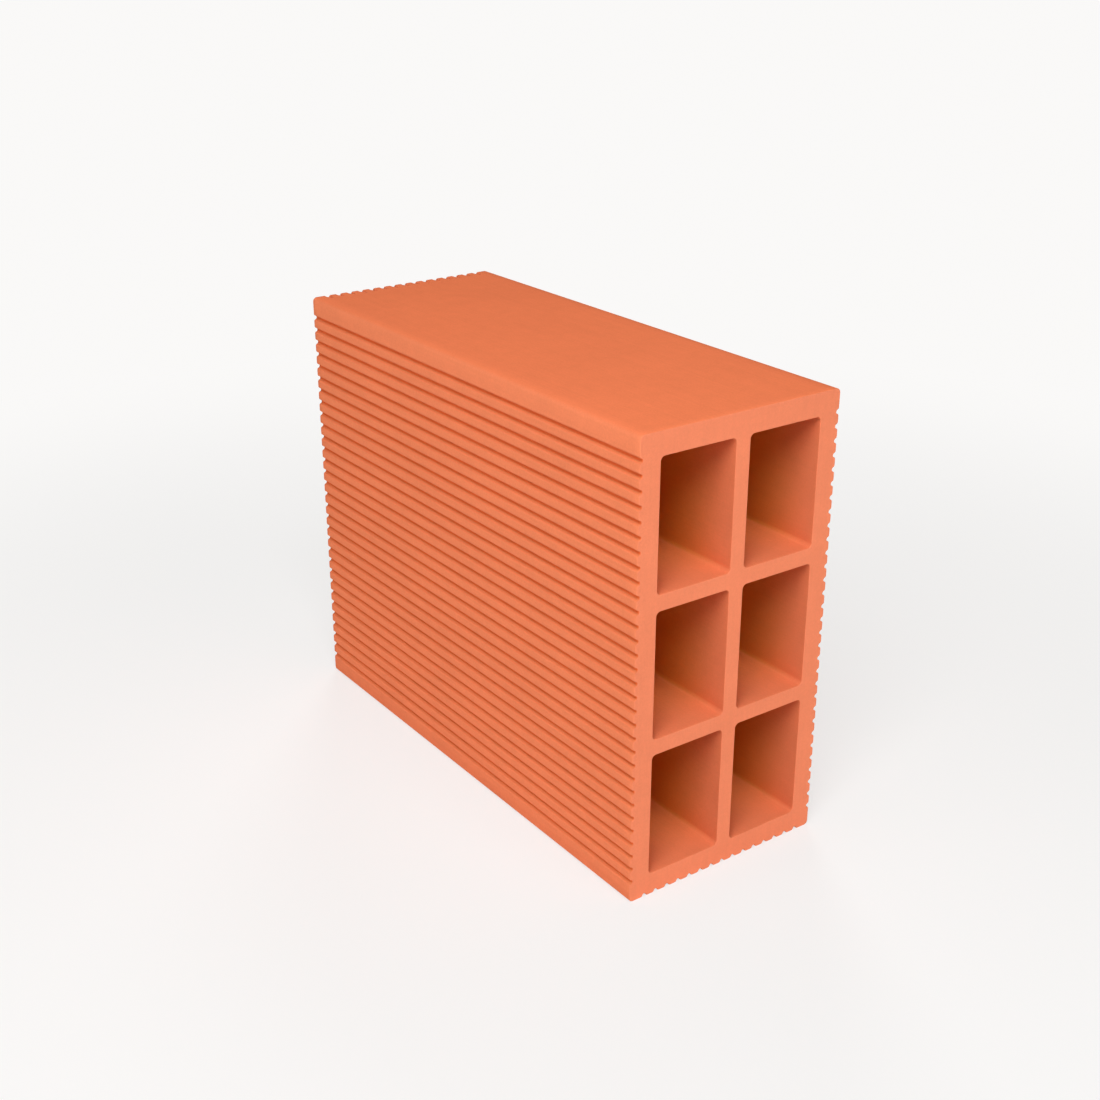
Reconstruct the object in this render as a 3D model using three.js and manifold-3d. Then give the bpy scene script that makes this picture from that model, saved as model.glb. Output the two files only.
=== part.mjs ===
// Hollow clay block, fired in one piece: six cells run through its length, and the two
// large faces and the lower bed are combed with keying grooves. The comb also nicks the
// upper bed at its back end.
//
// Millimetres, +Z up. X runs along the cells, Y across the block. The origin is the middle
// of the lower bed.

import Module from 'manifold-3d';
import * as THREE from 'three';
import { mergeVertices } from 'three/addons/utils/BufferGeometryUtils.js';

// Overall size.
const LENGTH = 250;
const WIDTH = 99.5;
const HEIGHT = 199.4;

// Walls between and around the cells.
const FACE_SHELL = 9.8;
const BED_SHELL = 9.9;
const UPRIGHT_WEB = 7.1;
const CROSS_WEB = 7;
const CELL_COLUMNS = 2;
const CELL_ROWS = 3;
const CELL_CORNER_RADIUS = 2;

// The long outer edges, as the die rounds them, and the edges round each cut end and its cell
// mouths, as firing leaves them.
const ARRIS_RADIUS = 2;
const END_EDGE_RADIUS = 0.3;

// Keying grooves. The land beside an edge is at least GROOVE_EDGE_LAND, measured from the
// edge to the middle of the nearest groove.
const GROOVE_PITCH = 6;
const GROOVE_WIDTH = 3.6;
const GROOVE_DEPTH = 1.35;
const GROOVE_EDGE_LAND = 6;

// The nicks in the upper bed are as deep as a groove over their level stretch at the back end,
// and then run out to nothing, as the comb's teeth lift. Each cut runs on past the clay by the
// overrun.
const NICK_LEVEL = 2.5;
const NICK_RUN_OUT = 3.5;
const NICK_OVERRUN = 1;

// Straight pieces in each round stretch.
const ARRIS_STEPS = 5;
const CELL_CORNER_STEPS = 4;
const GROOVE_LIP_STEPS = 2;
const GROOVE_FLOOR_STEPS = 4;
const END_EDGE_STEPS = 2;

const QUARTER_TURN = Math.PI / 2;
const SAME_POINT = 1e-6;

// Points on an arc, both ends included. It turns left where `to` is larger than `from`.
function arcPoints(centre, radius, from, to, steps) {
  const points = [];
  for (let i = 0; i <= steps; i += 1) {
    const angle = from + ((to - from) * i) / steps;
    const spoke = new THREE.Vector2(Math.cos(angle), Math.sin(angle)).multiplyScalar(radius);
    points.push(spoke.add(centre));
  }
  return points;
}

// Adds points to an outline, and skips one that falls on the last point there.
function append(outline, points) {
  for (const point of points) {
    const last = outline.at(-1);
    if (!last || last.distanceTo(point) > SAME_POINT) outline.push(point);
  }
}

// Middles of the grooves along one side, kept symmetric with one groove on its centre line.
function grooveMiddles(sideLength) {
  const eachWay = Math.floor((sideLength / 2 - GROOVE_EDGE_LAND) / GROOVE_PITCH);
  const middles = [];
  for (let i = -eachWay; i <= eachWay; i += 1) middles.push(sideLength / 2 + i * GROOVE_PITCH);
  return middles;
}

// A groove's two lips and its floor are arcs of this one radius, which meet each other and the
// face without a kink.
const GROOVE_RADIUS = ((GROOVE_WIDTH / 2) ** 2 + GROOVE_DEPTH ** 2) / (4 * GROOVE_DEPTH);

// One groove in the frame of its side: x along the side, y into the clay.
function groovePoints(middle) {
  const half = GROOVE_WIDTH / 2;
  const radius = GROOVE_RADIUS;
  const lean = Math.atan2(GROOVE_DEPTH - 2 * radius, half);
  const lipIn = new THREE.Vector2(middle - half, radius);
  const floor = new THREE.Vector2(middle, GROOVE_DEPTH - radius);
  const lipOut = new THREE.Vector2(middle + half, radius);
  return [
    ...arcPoints(lipIn, radius, -QUARTER_TURN, lean, GROOVE_LIP_STEPS),
    ...arcPoints(floor, radius, Math.PI + lean, -lean, GROOVE_FLOOR_STEPS),
    ...arcPoints(lipOut, radius, Math.PI - lean, Math.PI + QUARTER_TURN, GROOVE_LIP_STEPS),
  ];
}

// One side of the outer outline and the round edge that ends it. The side starts at a sharp
// corner and runs at a heading, with the clay on its left.
function sidePoints(start, heading, sideLength, grooved) {
  const points = [];
  if (grooved) for (const middle of grooveMiddles(sideLength)) append(points, groovePoints(middle));
  const centre = new THREE.Vector2(sideLength - ARRIS_RADIUS, ARRIS_RADIUS);
  append(points, arcPoints(centre, ARRIS_RADIUS, -QUARTER_TURN, 0, ARRIS_STEPS));
  const sideOrigin = new THREE.Vector2();
  return points.map((point) => point.rotateAround(sideOrigin, heading).add(start));
}

// The cross-section's outer outline, anticlockwise from the lower bed. Its x is the block's Y
// and its y the block's Z.
function outerOutline() {
  const half = WIDTH / 2;
  const sides = [
    { start: [-half, 0], length: WIDTH, grooved: true },
    { start: [half, 0], length: HEIGHT, grooved: true },
    { start: [half, HEIGHT], length: WIDTH, grooved: false },
    { start: [-half, HEIGHT], length: HEIGHT, grooved: true },
  ];
  const outline = [];
  sides.forEach(({ start, length, grooved }, turn) => {
    append(outline, sidePoints(new THREE.Vector2(...start), turn * QUARTER_TURN, length, grooved));
  });
  return outline;
}

// A cell's outline: a rectangle with round corners, anticlockwise, about its middle.
function cellOutline(middle, width, height) {
  const radius = Math.min(CELL_CORNER_RADIUS, width / 2, height / 2);
  const corners = [
    [width / 2 - radius, height / 2 - radius],
    [radius - width / 2, height / 2 - radius],
    [radius - width / 2, radius - height / 2],
    [width / 2 - radius, radius - height / 2],
  ];
  const outline = [];
  corners.forEach((corner, turn) => {
    const centre = new THREE.Vector2(...corner).add(middle);
    const from = turn * QUARTER_TURN;
    append(outline, arcPoints(centre, radius, from, from + QUARTER_TURN, CELL_CORNER_STEPS));
  });
  return outline;
}

// All cells, in columns and rows between the shells and webs.
function cellOutlines() {
  const width = (WIDTH - 2 * FACE_SHELL - (CELL_COLUMNS - 1) * UPRIGHT_WEB) / CELL_COLUMNS;
  const height = (HEIGHT - 2 * BED_SHELL - (CELL_ROWS - 1) * CROSS_WEB) / CELL_ROWS;
  const outlines = [];
  for (let row = 0; row < CELL_ROWS; row += 1) {
    for (let column = 0; column < CELL_COLUMNS; column += 1) {
      const y = -WIDTH / 2 + FACE_SHELL + width / 2 + column * (width + UPRIGHT_WEB);
      const z = BED_SHELL + height / 2 + row * (height + CROSS_WEB);
      outlines.push(cellOutline(new THREE.Vector2(y, z), width, height));
    }
  }
  return outlines;
}

// The block before the nicks, in the frame of its section: the section's x and y, and z along
// the block from the back end.
function blockGeometry() {
  const section = new THREE.Shape(outerOutline());
  section.holes = cellOutlines().map((outline) => new THREE.Path(outline));
  // The groove lips are no rounder than GROOVE_RADIUS, so an end edge can't be either.
  const edge = Math.min(END_EDGE_RADIUS, GROOVE_RADIUS);
  const geometry = new THREE.ExtrudeGeometry(section, {
    depth: LENGTH - 2 * edge,
    bevelThickness: edge,
    bevelSize: edge,
    bevelOffset: -edge,
    bevelSegments: END_EDGE_STEPS,
  });
  return geometry.translate(0, 0, edge);
}

// What one nick takes away, in the same frame: a level piece of groove that starts behind the
// back end, and one that climbs out of the upper bed.
function nickGeometries(middle) {
  const half = GROOVE_WIDTH / 2;
  const outline = [
    new THREE.Vector2(middle - half, -GROOVE_DEPTH),
    ...groovePoints(middle),
    new THREE.Vector2(middle + half, -GROOVE_DEPTH),
  ];
  const bedCorner = new THREE.Vector2(WIDTH / 2, HEIGHT);
  const bedOrigin = new THREE.Vector2();
  outline.forEach((point) => point.rotateAround(bedOrigin, 2 * QUARTER_TURN).add(bedCorner));
  const section = new THREE.Shape(outline);
  const extruded = (depth) => new THREE.ExtrudeGeometry(section, { depth, bevelEnabled: false });
  const climb = new THREE.Matrix4().makeShear(0, 0, 0, 0, 0, GROOVE_DEPTH / NICK_RUN_OUT);
  return [
    extruded(NICK_OVERRUN + NICK_LEVEL).translate(0, 0, -NICK_OVERRUN),
    extruded(NICK_RUN_OUT + NICK_OVERRUN).applyMatrix4(climb).translate(0, 0, NICK_LEVEL),
  ];
}

// A closed geometry as a solid that can be cut.
function solidFrom(wasm, geometry) {
  geometry.deleteAttribute('normal');
  geometry.deleteAttribute('uv');
  const merged = mergeVertices(geometry);
  const mesh = new wasm.Mesh({
    numProp: 3,
    vertProperties: merged.attributes.position.array,
    triVerts: Uint32Array.from(merged.index.array),
  });
  return new wasm.Manifold(mesh);
}

function geometryFrom(solid) {
  const { vertProperties, triVerts } = solid.getMesh();
  const indexed = new THREE.BufferGeometry();
  indexed.setAttribute('position', new THREE.BufferAttribute(vertProperties, 3));
  indexed.setIndex(new THREE.BufferAttribute(triVerts, 1));
  const geometry = indexed.toNonIndexed();
  geometry.computeVertexNormals();
  return geometry;
}

async function hollowBlock() {
  const wasm = await Module();
  wasm.setup();
  let solid = solidFrom(wasm, blockGeometry());
  for (const geometry of grooveMiddles(WIDTH).flatMap(nickGeometries)) {
    solid = solid.subtract(solidFrom(wasm, geometry));
  }
  const clay = new THREE.MeshStandardMaterial({ color: 0xe8825a, roughness: 0.9, metalness: 0 });
  const mesh = new THREE.Mesh(geometryFrom(solid), clay);
  mesh.name = 'hollow_block';
  mesh.rotation.set(QUARTER_TURN, QUARTER_TURN, 0);
  mesh.position.x = -LENGTH / 2;
  return mesh;
}

const group = new THREE.Group();
group.add(await hollowBlock());

export default group;
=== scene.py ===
"""Looks of a hollow fired-clay block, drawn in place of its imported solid. The scene is in
metres with +Z up. The sizes of the block here are in millimetres."""

import math

import bpy
import numpy as np
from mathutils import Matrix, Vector
from mathutils.geometry import delaunay_2d_cdt

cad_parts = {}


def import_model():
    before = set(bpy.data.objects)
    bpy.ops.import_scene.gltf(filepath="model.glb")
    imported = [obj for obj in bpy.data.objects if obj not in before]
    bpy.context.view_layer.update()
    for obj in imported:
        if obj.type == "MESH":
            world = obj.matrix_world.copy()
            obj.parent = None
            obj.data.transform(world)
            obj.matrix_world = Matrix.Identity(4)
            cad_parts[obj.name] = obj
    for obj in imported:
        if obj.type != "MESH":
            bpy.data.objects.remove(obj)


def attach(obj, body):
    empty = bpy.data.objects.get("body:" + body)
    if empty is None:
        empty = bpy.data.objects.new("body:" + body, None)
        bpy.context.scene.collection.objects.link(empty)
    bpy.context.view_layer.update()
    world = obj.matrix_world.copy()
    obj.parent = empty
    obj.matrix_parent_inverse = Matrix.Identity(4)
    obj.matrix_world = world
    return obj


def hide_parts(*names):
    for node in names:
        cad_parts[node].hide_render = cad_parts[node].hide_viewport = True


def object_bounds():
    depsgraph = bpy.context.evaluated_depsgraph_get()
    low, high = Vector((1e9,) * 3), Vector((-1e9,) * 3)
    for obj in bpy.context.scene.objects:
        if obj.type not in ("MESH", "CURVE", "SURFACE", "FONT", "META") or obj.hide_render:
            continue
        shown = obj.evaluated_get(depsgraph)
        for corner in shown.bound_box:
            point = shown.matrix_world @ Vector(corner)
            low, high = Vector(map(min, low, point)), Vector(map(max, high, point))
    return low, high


MM = 0.001
QUARTER_TURN = math.pi / 2

# Points nearer to each other than this, in millimetres, are one point.
SAME_POINT = 1e-6

# Overall size of the block, and the walls between and around its cells.
LENGTH = 250.0
WIDTH = 99.5
HEIGHT = 199.4
FACE_SHELL = 9.8
BED_SHELL = 9.9
UPRIGHT_WEB = 7.1
CROSS_WEB = 7.0
CELL_COLUMNS = 2
CELL_ROWS = 3
CELL_CORNER_RADIUS = 2.0

# The long outer edges, and the edges round each cut end and its cell mouths.
ARRIS_RADIUS = 2.0
END_EDGE_RADIUS = 0.3

# Where a face meets its rounded edge, the shading has already turned this far, so that the edge
# melts into the face. Along the block it starts to turn at the reach before the front end, and
# where the nicks stop being level before the back end.
EDGE_SOFTNESS = math.radians(15)
END_EDGE_REACH = 4.0

# Keying grooves, and the nicks that the comb leaves in the upper bed: level at the back end,
# then running out to nothing.
GROOVE_PITCH = 6.0
GROOVE_WIDTH = 3.6
GROOVE_DEPTH = 1.35
GROOVE_EDGE_LAND = 6.0
GROOVE_RADIUS = ((GROOVE_WIDTH / 2) ** 2 + GROOVE_DEPTH**2) / (4 * GROOVE_DEPTH)
NICK_LEVEL = 2.5
NICK_RUN_OUT = 3.5

# Straight pieces in each round stretch of the mesh, and along the nicks and the plain block.
GROOVE_LIP_STEPS = 4
GROOVE_FLOOR_STEPS = 8
ARRIS_STEPS = 8
CELL_CORNER_STEPS = 6
END_EDGE_STEPS = 5
NICK_STEPS = 8
BODY_STEPS = 4

# Colour of the clay on the large faces. Clay that faces up, such as the upper bed, takes a tint
# that is painted light, for the light that falls on it, and the cut ends take a paler tint that
# is a painted sheen.
FACE_CLAY = (0.857, 0.237, 0.108, 1)
BED_PAINTED_LIGHT = (0.873, 0.218, 0.091, 1)
CUT_END_PAINTED_SHEEN = (0.858, 0.246, 0.124, 1)

# Painted shade at the bottom of a groove: darker, browner clay, one colour where it faces down
# and another where it faces up.
GROOVE_SHADE_FACING_DOWN = (0.755, 0.145, 0.044, 1)
GROOVE_SHADE_FACING_UP = (0.68, 0.222, 0.088, 1)

# Painted shade and light in the cells: browner clay on their walls and darker clay far in from
# the mouths are painted shade, and brighter clay on their floors is painted light. A fade gives
# the distances from the nearer end of the block, in metres, between which it takes over.
CELL_WALL_PAINTED_SHADE = (0.80, 0.276, 0.045, 1)
CELL_FLOOR_PAINTED_LIGHT = (0.96, 0.322, 0.098, 1)
CELL_DEEP_PAINTED_SHADE = (0.76, 0.232, 0.050, 1)
CELL_FADE = (0.0, 0.040)
DEEP_FADE = (0.045, 0.090)

# Clay takes the painted light of a bed or of a cell floor, or the painted shade of a groove's
# side that faces up, as the Z of its normal goes from the first number to the second.
BED_FACING = (0.5, 1.0)
GROOVE_FACING = (0.3, 0.95)

# Noise on the clay: how fine it is for each metre, its detail and its roughness. The lines that
# the die drags along the block and the marks of the cutting wire are noise that is drawn out.
BLOTCH = (22.0, 3.0, 0.5)
MOTTLE = (140.0, 4.0, 0.6)
GRAIN = (1300.0, 3.0, 0.6)
DRAG_LINES = (900.0, 3.0, 0.5)
WIRE_MARKS = (700.0, 3.0, 0.5)
DRAWN_ALONG = (0.02, 1.0, 1.0)
DRAWN_UP = (1.0, 1.0, 0.06)

# How far each noise lightens and darkens the clay, and its share in the relief.
BLOTCH_TONE = 0.05
MOTTLE_TONE = 0.05
GRAIN_TONE = 0.08
LINE_TONE = 0.035
MOTTLE_RELIEF = 0.6
GRAIN_RELIEF = 0.5
LINE_RELIEF = 0.35
RELIEF_STRENGTH = 0.35
RELIEF_DISTANCE = 0.0002
CLAY_ROUGHNESS = 0.9
CLAY_SPECULAR = 0.0

# Near the block the floor is part matt, which keeps the shadow, and part plain paper.
# Far from the block, and past the floor, there is paper alone. Distances are in metres.
FLOOR_REACH = 12.0
FLOOR_MATT = (0.95, 0.95, 0.94, 1)
PAPER = (0.955, 0.945, 0.935, 1)
NEAR_PAPER_SHARE = 0.66
PAPER_FADE = (0.2, 0.7)

# The camera looks at the middle of the block.
CAMERA_AZIMUTH = -35.5
CAMERA_ELEVATION = 23.1
CAMERA_DISTANCE = 0.7
CAMERA_LENS = 50
CAMERA_SENSOR = 36

# Round lamps that shine on the middle of the block: azimuth and elevation in degrees, distance
# and width in metres, and watts.
LAMPS = {
    "key": (-43.5, 48, 1.2, 0.75, 11.3),
    "left": (-100, 5, 1.6, 0.6, 5.0),
    "right": (10, 5, 1.6, 0.6, 7.3),
    "back": (144.5, 35, 1.6, 0.6, 7.4),
    "overhead": (-35.5, 85, 1.6, 0.6, 3.2),
}


def arc(centre, radius, start, stop, steps, outward=1):
    """Points on an arc, and their unit normals out of the clay, both as arrays of pairs."""
    angles = np.linspace(start, stop, steps + 1)
    spokes = np.stack([np.cos(angles), np.sin(angles)], axis=1)
    return np.asarray(centre) + radius * spokes, outward * spokes


def groove_middles(side_length):
    """Middles of the grooves along a side, with one on its centre line."""
    each_way = int((side_length / 2 - GROOVE_EDGE_LAND) // GROOVE_PITCH)
    return [side_length / 2 + i * GROOVE_PITCH for i in range(-each_way, each_way + 1)]


def groove(middle):
    """One groove in the frame of its side: x along the side, y into the clay."""
    half, radius = GROOVE_WIDTH / 2, GROOVE_RADIUS
    lean = math.atan2(GROOVE_DEPTH - 2 * radius, half)
    lip_in, lip_out = (middle - half, radius), (middle + half, radius)
    floor_centre = (middle, GROOVE_DEPTH - radius)
    return [
        arc(lip_in, radius, -QUARTER_TURN, lean, GROOVE_LIP_STEPS),
        arc(floor_centre, radius, math.pi + lean, -lean, GROOVE_FLOOR_STEPS, -1),
        arc(lip_out, radius, math.pi - lean, math.pi + QUARTER_TURN, GROOVE_LIP_STEPS),
    ]


def side(start, turn, length, nicked):
    """One side of the outer outline with its grooves and the arris that ends it: points,
    normals, depth below the side's face, and which points belong to nicks."""
    runs = [run for middle in groove_middles(length) for run in groove(middle)]
    points = np.concatenate([run[0] for run in runs])
    normals = np.concatenate([run[1] for run in runs])
    keep = np.append(True, np.linalg.norm(np.diff(points, axis=0), axis=1) > SAME_POINT)
    points, normals = points[keep], normals[keep]
    nick = np.full(len(points), nicked)
    middle = (length - ARRIS_RADIUS, ARRIS_RADIUS)
    corner, _ = arc(middle, ARRIS_RADIUS, -QUARTER_TURN, 0, ARRIS_STEPS)
    soft, _ = arc((0, 0), 1, EDGE_SOFTNESS - QUARTER_TURN, -EDGE_SOFTNESS, ARRIS_STEPS)
    depth = np.append(points[:, 1], np.zeros(len(corner)))
    points = np.concatenate([points, corner])
    normals = np.concatenate([normals, soft])
    nick = np.append(nick, np.zeros(len(corner), bool))
    cos, sin = math.cos(turn * QUARTER_TURN), math.sin(turn * QUARTER_TURN)
    spin = np.array([[cos, sin], [-sin, cos]])
    return points @ spin + np.asarray(start), normals @ spin, depth, nick


def outer_outline():
    """The section's outer outline, anticlockwise from the lower bed. Its x is the block's Y.
    The upper bed has nicks where the other sides have grooves."""
    half = WIDTH / 2
    corners = [(-half, 0), (half, 0), (half, HEIGHT), (-half, HEIGHT)]
    upper_bed = 2
    sides = [
        side(corner, turn, WIDTH if turn % 2 == 0 else HEIGHT, turn == upper_bed)
        for turn, corner in enumerate(corners)
    ]
    return [np.concatenate(part) for part in zip(*sides)]


def cell_outline(middle, width, height):
    """A cell's outline, clockwise, so that the clay lies on its left."""
    radius, steps = CELL_CORNER_RADIUS, CELL_CORNER_STEPS
    runs = []
    for turn, (sx, sy) in enumerate([(1, 1), (-1, 1), (-1, -1), (1, -1)]):
        centre = (middle[0] + sx * (width / 2 - radius), middle[1] + sy * (height / 2 - radius))
        start = turn * QUARTER_TURN
        runs.append(arc(centre, radius, start, start + QUARTER_TURN, steps, -1))
    points = np.concatenate([run[0] for run in runs])[::-1]
    normals = np.concatenate([run[1] for run in runs])[::-1]
    return [points, normals, np.zeros(len(points)), np.zeros(len(points), bool)]


def cell_outlines():
    """All cells, in columns and rows between the shells and webs."""
    width = (WIDTH - 2 * FACE_SHELL - (CELL_COLUMNS - 1) * UPRIGHT_WEB) / CELL_COLUMNS
    height = (HEIGHT - 2 * BED_SHELL - (CELL_ROWS - 1) * CROSS_WEB) / CELL_ROWS
    outlines = []
    for row in range(CELL_ROWS):
        for column in range(CELL_COLUMNS):
            y = -WIDTH / 2 + FACE_SHELL + width / 2 + column * (width + UPRIGHT_WEB)
            z = BED_SHELL + height / 2 + row * (height + CROSS_WEB)
            outlines.append(cell_outline((y, z), width, height))
    return outlines


def end_edge(end, outward):
    """Stations round the edge of one cut end, from the side faces to the end: x, inset of the
    outline, how far the surface has turned towards the end, and how far its shading has."""
    edge = END_EDGE_RADIUS
    rings = []
    for turn in np.linspace(0, QUARTER_TURN, END_EDGE_STEPS + 1):
        x = end - outward * edge * (1 - math.sin(turn))
        soft = EDGE_SOFTNESS + turn * (1 - EDGE_SOFTNESS / QUARTER_TURN)
        rings.append((x, edge * (1 - math.cos(turn)), outward * turn, outward * soft))
    return rings


def stations():
    """Stations along the block from back to front, as end_edge() gives them."""
    back, front = -LENGTH / 2, LENGTH / 2
    level_end = back + NICK_LEVEL
    nick_end = level_end + NICK_RUN_OUT
    plain = [*np.linspace(level_end, nick_end, NICK_STEPS + 1)]
    plain += [*np.linspace(nick_end, front - END_EDGE_REACH, BODY_STEPS + 1)[1:]]
    return end_edge(back, -1)[::-1] + [(x, 0.0, 0.0, 0.0) for x in plain] + end_edge(front, 1)


def ring_of(outline, x, inset, turn):
    """The outline's points and normals at one station, in three dimensions."""
    points, normals, depth, nick = outline
    points, flat = points.copy(), normals.copy()
    normal_x = np.zeros(len(points))
    if nick.any():
        run_out = x + LENGTH / 2 - NICK_LEVEL
        slope = GROOVE_DEPTH / NICK_RUN_OUT
        lift = min(max(slope * run_out, 0), GROOVE_DEPTH)
        sunk = nick & (depth > lift)
        level = nick & ~sunk
        points[sunk, 1] += lift
        points[level, 1] = HEIGHT
        flat[level] = (0, 1)
        normal_x[sunk] = -slope * np.abs(flat[sunk, 1]) if run_out > 0 else 0
    points = points - inset * flat
    normal = np.stack([normal_x, flat[:, 0], flat[:, 1]], axis=1)
    normal /= np.linalg.norm(normal, axis=1, keepdims=True)
    normal = normal * math.cos(turn) + np.array([math.sin(turn), 0, 0])
    normal /= np.linalg.norm(normal, axis=1, keepdims=True)
    return np.column_stack([np.full(len(points), x), points]), normal


def tube_faces(base, count, rings):
    """Quads between the rings of one outline, whose points start at base."""
    faces = []
    for back in range(base, base + (rings - 1) * count, count):
        here = back + count
        for i in range(count):
            j = (i + 1) % count
            faces.append((back + i, back + j, here + j, here + i))
    return faces


def cap_faces(points, loops, outward):
    """Triangles over one cut end, between the outer loop and the cells' loops. Each loop is
    its first point and its length, the outer one first. Outward is 1 or -1 along the block."""
    order, loop_of, edges = [], [], []
    for number, (first, count) in enumerate(loops):
        start = len(order)
        order += range(first, first + count)
        loop_of += [number] * count
        edges += [(start + i, start + (i + 1) % count) for i in range(count)]
    flat = [Vector(points[i][1:]) for i in order]
    inside_only = 1
    triangles = delaunay_2d_cdt(flat, edges, [], inside_only, SAME_POINT * MM)[2]
    faces = []
    for triangle in triangles:
        touched = {loop_of[corner] for corner in triangle}
        in_cell_mouth = len(touched) == 1 and 0 not in touched
        if not in_cell_mouth:
            faces.append([order[corner] for corner in triangle][::outward])
    return faces


def fired_block():
    """The whole block as one closed mesh, with its exact normals and what its tints go by."""
    rings = stations()
    points, normals, groove_depth, cut_end, in_cell, faces = [], [], [], [], [], []
    back_loops, front_loops = [], []
    base = 0
    for number, outline in enumerate([outer_outline(), *cell_outlines()]):
        is_cell = number > 0
        count = len(outline[0])
        for x, inset, turn, soft_turn in rings:
            ring, normal = ring_of(outline, x, inset, turn if is_cell else soft_turn)
            points.append(ring)
            normals.append(normal)
            groove_depth.append(np.where(outline[3], 0, outline[2]) / GROOVE_DEPTH)
            cut_end.append(np.full(count, abs(turn) / QUARTER_TURN))
            in_cell.append(np.full(count, float(is_cell)))
        faces += tube_faces(base, count, len(rings))
        back_loops.append((base, count))
        base += len(rings) * count
        front_loops.append((base - count, count))
    points = np.concatenate(points) * MM
    faces += cap_faces(points, back_loops, -1) + cap_faces(points, front_loops, 1)
    mesh = bpy.data.meshes.new("fired_block")
    mesh.from_pydata(points.tolist(), [], faces)
    tints = {"groove_depth": groove_depth, "cut_end": cut_end, "in_cell": in_cell}
    for name, values in tints.items():
        attribute = mesh.attributes.new(name, "FLOAT", "POINT")
        attribute.data.foreach_set("value", np.concatenate(values).astype(np.float32))
    mesh.shade_smooth()
    mesh.normals_split_custom_set_from_vertices(np.concatenate(normals).tolist())
    block = bpy.data.objects.new("fired_block", mesh)
    bpy.context.scene.collection.objects.link(block)
    return block


class Nodes:
    """A node tree, emptied and then filled by short calls."""

    def __init__(self, owner):
        owner.use_nodes = True
        self.tree = owner.node_tree
        self.tree.nodes.clear()

    def add(self, kind, inputs=None, **settings):
        node = self.tree.nodes.new("ShaderNode" + kind)
        for key, value in settings.items():
            setattr(node, key, value)
        for key, value in (inputs or {}).items():
            socket = node.inputs[key]
            if isinstance(value, bpy.types.NodeSocket):
                self.tree.links.new(value, socket)
            else:
                socket.default_value = value
        return node

    def math(self, operation, a, b=0.0, c=0.0):
        return self.add("Math", {0: a, 1: b, 2: c}, operation=operation).outputs[0]

    def tone(self, value, amount):
        """A value from 0 to 1 as a factor that is below or above 1 by the amount at most."""
        inputs = {"Value": value, "To Min": 1 - amount, "To Max": 1 + amount}
        return self.add("MapRange", inputs).outputs["Result"]

    def stretch(self, value, low, high, least=0.0):
        """The least where the value is low or less, 1 where it is high or more, and smooth
        between."""
        inputs = {"Value": value, "From Min": low, "From Max": high, "To Min": least}
        return self.add("MapRange", inputs, interpolation_type="SMOOTHSTEP").outputs["Result"]

    def blend(self, share, first, second):
        """A colour between two, by the Mix node's colour sockets."""
        inputs = {0: share, 6: first, 7: second}
        return self.add("Mix", inputs, data_type="RGBA").outputs[2]

    def noise(self, vector, layer):
        scale, detail, roughness = layer
        inputs = {"Vector": vector, "Scale": scale, "Detail": detail, "Roughness": roughness}
        return self.add("TexNoise", inputs).outputs["Fac"]

    def scaled(self, vector, factors):
        inputs = {0: vector, 1: factors}
        return self.add("VectorMath", inputs, operation="MULTIPLY").outputs[0]

    def shown(self):
        """1 for a ray that shows what is behind the block: to the camera, mirrored or through
        glass. 0 for a ray that lights."""
        path = self.add("LightPath").outputs
        shown = path["Is Camera Ray"]
        for name in ("Is Glossy Ray", "Is Transmission Ray"):
            shown = self.math("MAXIMUM", shown, path[name])
        return shown


def clay_hue_with_painted_light_and_shade(nodes, where, facing_up, cut_end):
    """The clay's colour by place, with painted light and shade. Down in the grooves, and on the
    walls of the cells and far in them, it is browner or darker: painted shade. The floors of
    the cells are brighter, painted light, and clay that faces up and the cut ends take tints
    that are painted light and painted sheen."""
    groove_depth = nodes.add("Attribute", attribute_name="groove_depth").outputs["Fac"]
    in_cell = nodes.add("Attribute", attribute_name="in_cell").outputs["Fac"]
    along = nodes.add("SeparateXYZ", {0: where}).outputs["X"]
    from_end = nodes.math("SUBTRACT", LENGTH * MM / 2, nodes.math("ABSOLUTE", along))
    # Painted shade and light in the cells, taking over away from the ends.
    painted_cell_share = nodes.math("MULTIPLY", in_cell, nodes.stretch(from_end, *CELL_FADE))
    far_in_shade_share = nodes.stretch(from_end, *DEEP_FADE)
    level = nodes.stretch(facing_up, *BED_FACING)
    # Painted light on clay that faces up, outside the cells.
    painted_bed_light_share = nodes.math("MULTIPLY", level, nodes.math("SUBTRACT", 1.0, in_cell))
    # Painted shade down in the grooves, left off the cut ends.
    groove_shade_share = nodes.math("MULTIPLY", groove_depth, nodes.math("SUBTRACT", 1.0, cut_end))
    # Cells: painted light on their floors, painted shade on their walls and far in.
    cell_painted_light_and_shade = nodes.blend(far_in_shade_share, nodes.blend(level, CELL_WALL_PAINTED_SHADE, CELL_FLOOR_PAINTED_LIGHT), CELL_DEEP_PAINTED_SHADE)
    # The grooves' painted shade, one colour facing down and another facing up.
    facing = nodes.stretch(facing_up, *GROOVE_FACING)
    painted_groove_shade = nodes.blend(facing, GROOVE_SHADE_FACING_DOWN, GROOVE_SHADE_FACING_UP)
    # The face colour, with painted light where the clay faces up.
    hue = nodes.blend(painted_bed_light_share, FACE_CLAY, BED_PAINTED_LIGHT)
    # Painted sheen on the cut ends: a paler tint.
    hue = nodes.blend(cut_end, hue, CUT_END_PAINTED_SHEEN)
    hue = nodes.blend(painted_cell_share, hue, cell_painted_light_and_shade)
    return nodes.blend(groove_shade_share, hue, painted_groove_shade)


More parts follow.
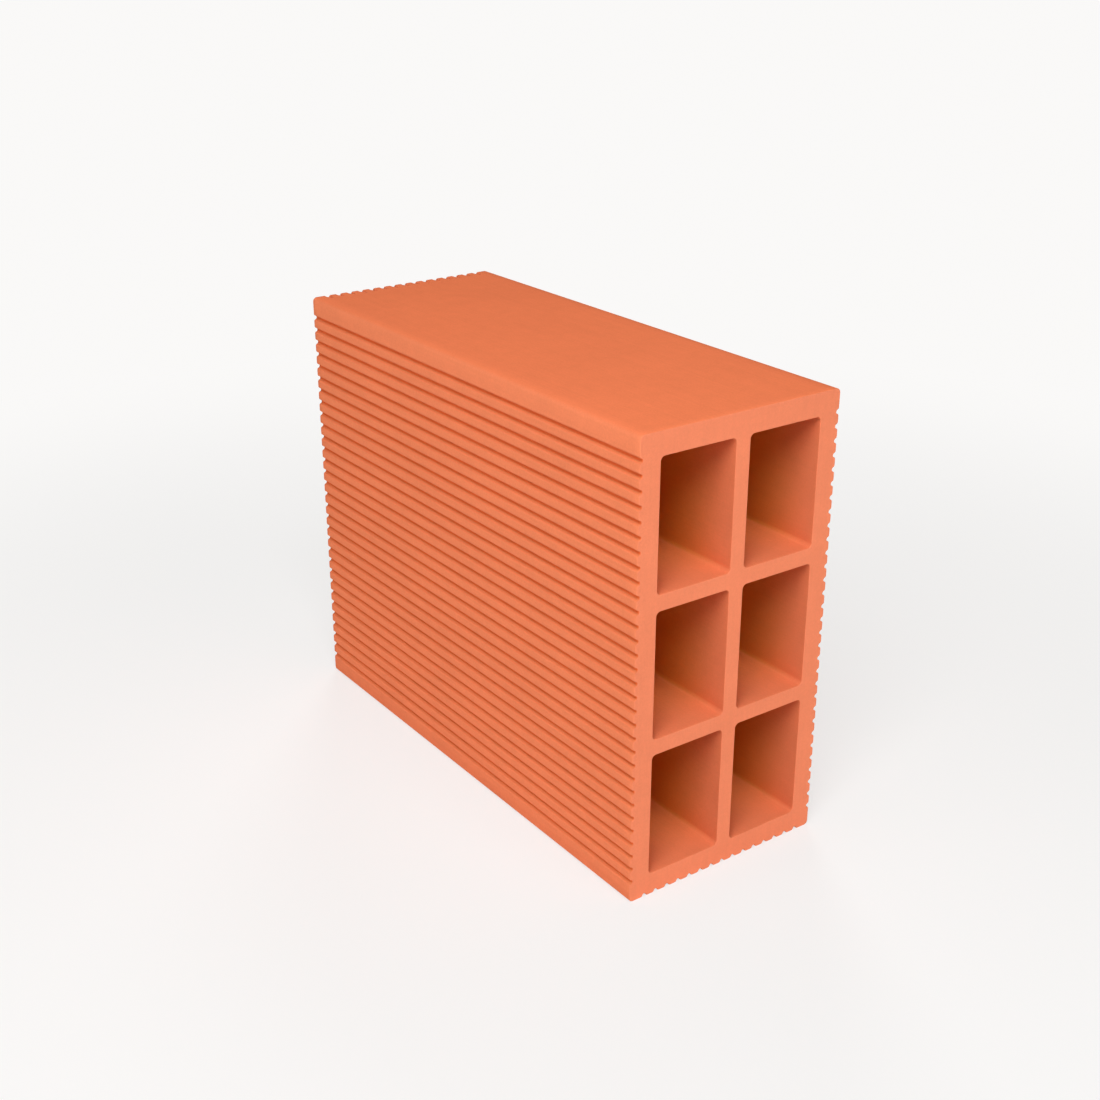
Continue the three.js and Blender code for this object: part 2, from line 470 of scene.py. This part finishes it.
def fired_clay():
    """Matt unglazed clay with soft blotches, grain, drag lines and wire marks."""
    material = bpy.data.materials.new("fired_clay")
    nodes = Nodes(material)
    place = nodes.add("TexCoord").outputs
    where = place["Object"]
    facing_up = nodes.add("SeparateXYZ", {0: place["Normal"]}).outputs["Z"]
    cut_end = nodes.add("Attribute", attribute_name="cut_end").outputs["Fac"]

    blotch, mottle, grain = (nodes.noise(where, layer) for layer in (BLOTCH, MOTTLE, GRAIN))
    drag = nodes.noise(nodes.scaled(where, DRAWN_ALONG), DRAG_LINES)
    wire = nodes.noise(nodes.scaled(where, DRAWN_UP), WIRE_MARKS)
    mixed = nodes.add("Mix", {"Factor": cut_end, "A": drag, "B": wire}, data_type="FLOAT")
    lines = mixed.outputs[0]

    tone = nodes.tone(blotch, BLOTCH_TONE)
    for noise, amount in ((mottle, MOTTLE_TONE), (grain, GRAIN_TONE), (lines, LINE_TONE)):
        tone = nodes.math("MULTIPLY", tone, nodes.tone(noise, amount))
    # The clay's colour by place, with painted light and shade.
    hue = clay_hue_with_painted_light_and_shade(nodes, where, facing_up, cut_end)
    colour = nodes.add("VectorMath", {0: hue, "Scale": tone}, operation="SCALE").outputs[0]

    height = nodes.math("MULTIPLY", grain, GRAIN_RELIEF)
    height = nodes.math("MULTIPLY_ADD", lines, LINE_RELIEF, height)
    height = nodes.math("MULTIPLY_ADD", mottle, MOTTLE_RELIEF, height)
    relief = {"Strength": RELIEF_STRENGTH, "Distance": RELIEF_DISTANCE, "Height": height}
    shader = {
        "Base Color": colour,
        "Roughness": CLAY_ROUGHNESS,
        "Specular IOR Level": CLAY_SPECULAR,
        "Normal": nodes.add("Bump", relief).outputs[0],
    }
    nodes.add("OutputMaterial", {"Surface": nodes.add("BsdfPrincipled", shader).outputs[0]})
    return material


def floor():
    """A wide pale floor. Far from the block the camera sees it as plain pale paper."""
    reach = FLOOR_REACH
    mesh = bpy.data.meshes.new("floor")
    corners = [(-reach, -reach, 0), (reach, -reach, 0), (reach, reach, 0), (-reach, reach, 0)]
    mesh.from_pydata(corners, [], [(0, 1, 2, 3)])
    ground = bpy.data.objects.new("floor", mesh)
    bpy.context.scene.collection.objects.link(ground)
    material = bpy.data.materials.new("pale_floor")
    nodes = Nodes(material)
    where = nodes.add("TexCoord").outputs["Object"]
    away = nodes.add("VectorMath", {0: where}, operation="LENGTH").outputs["Value"]
    paper_share = nodes.stretch(away, *PAPER_FADE, NEAR_PAPER_SHARE)
    share = nodes.math("MULTIPLY", paper_share, nodes.shown())
    matt = nodes.add("BsdfDiffuse", {"Color": FLOOR_MATT}).outputs[0]
    paper = nodes.add("Emission", {"Color": PAPER}).outputs[0]
    mixed = nodes.add("MixShader", {0: share, 1: matt, 2: paper})
    nodes.add("OutputMaterial", {"Surface": mixed.outputs[0]})
    mesh.materials.append(material)


def world():
    """Plain paper all round that gives no light."""
    made = bpy.data.worlds.new("studio")
    nodes = Nodes(made)
    paper = nodes.add("Background", {"Color": PAPER, "Strength": nodes.shown()})
    nodes.add("OutputWorld", {"Surface": paper.outputs[0]})
    bpy.context.scene.world = made


def aim(thing, centre, azimuth, elevation, distance):
    """Puts an object at a distance from the centre, and turns it to face the centre."""
    azimuth, elevation = math.radians(azimuth), math.radians(elevation)
    level = math.cos(elevation)
    away = Vector((math.cos(azimuth) * level, math.sin(azimuth) * level, math.sin(elevation)))
    thing.location = centre + distance * away
    thing.rotation_mode = "QUATERNION"
    thing.rotation_quaternion = (-away).to_track_quat("-Z", "Y")
    bpy.context.scene.collection.objects.link(thing)


def lamp(name, centre, azimuth, elevation, distance, width, watts):
    light = bpy.data.lights.new(name, "AREA")
    light.shape = "DISK"
    light.size = width
    light.energy = watts
    aim(bpy.data.objects.new(name, light), centre, azimuth, elevation, distance)


def camera(centre):
    data = bpy.data.cameras.new("camera")
    data.lens = CAMERA_LENS
    data.sensor_width = CAMERA_SENSOR
    made = bpy.data.objects.new("camera", data)
    aim(made, centre, CAMERA_AZIMUTH, CAMERA_ELEVATION, CAMERA_DISTANCE)
    bpy.context.scene.camera = made


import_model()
cad_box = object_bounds()

block = fired_block()
block.data.materials.append(fired_clay())
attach(block, "root")
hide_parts("hollow_block")

middle_of_block = (cad_box[0] + cad_box[1]) / 2
camera(middle_of_block)
bpy.context.scene.view_settings.view_transform = "Standard"
floor()
world()
for lamp_name, settings in LAMPS.items():
    lamp(lamp_name, middle_of_block, *settings)
